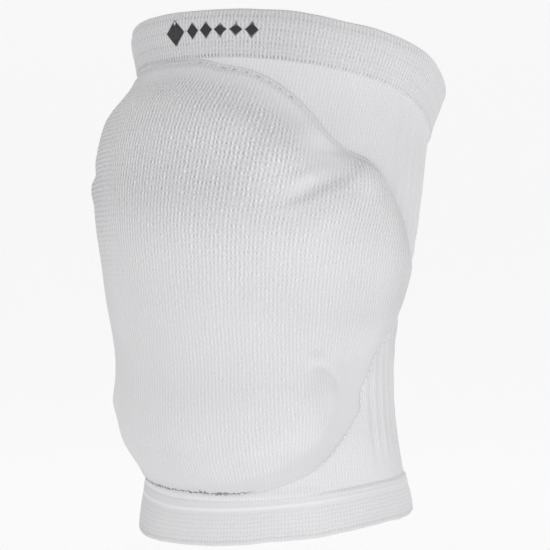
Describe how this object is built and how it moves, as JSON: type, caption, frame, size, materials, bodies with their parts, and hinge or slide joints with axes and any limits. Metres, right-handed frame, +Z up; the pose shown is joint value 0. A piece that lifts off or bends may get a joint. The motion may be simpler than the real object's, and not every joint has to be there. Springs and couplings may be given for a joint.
{
  "type": "volleyball knee pad",
  "caption": "Knitted tubular knee pad in its worn form, with a padded pocket that wraps the front and sides of the knee, elastic cuffs and a ribbed back.",
  "frame": {"origin": "on the axis of the leg that the sleeve is shaped on, at the height of the kneecap", "axes": "+Z up the leg towards the thigh, -Y towards the front of the knee, +X to the side"},
  "size_m": [0.1481, 0.1557, 0.2225],
  "materials": {
    "sleeve_knit": "matte white elastic knit",
    "pocket_knit": "matte white plain knit over foam",
    "cuff_knit": "matte white doubled elastic knit"
  },
  "bodies": {
    "root": {"knit_sleeve": "sleeve_knit", "padded_pocket": "pocket_knit", "thigh_cuff": "cuff_knit", "calf_cuff": "cuff_knit"}
  },
  "joints": []
}
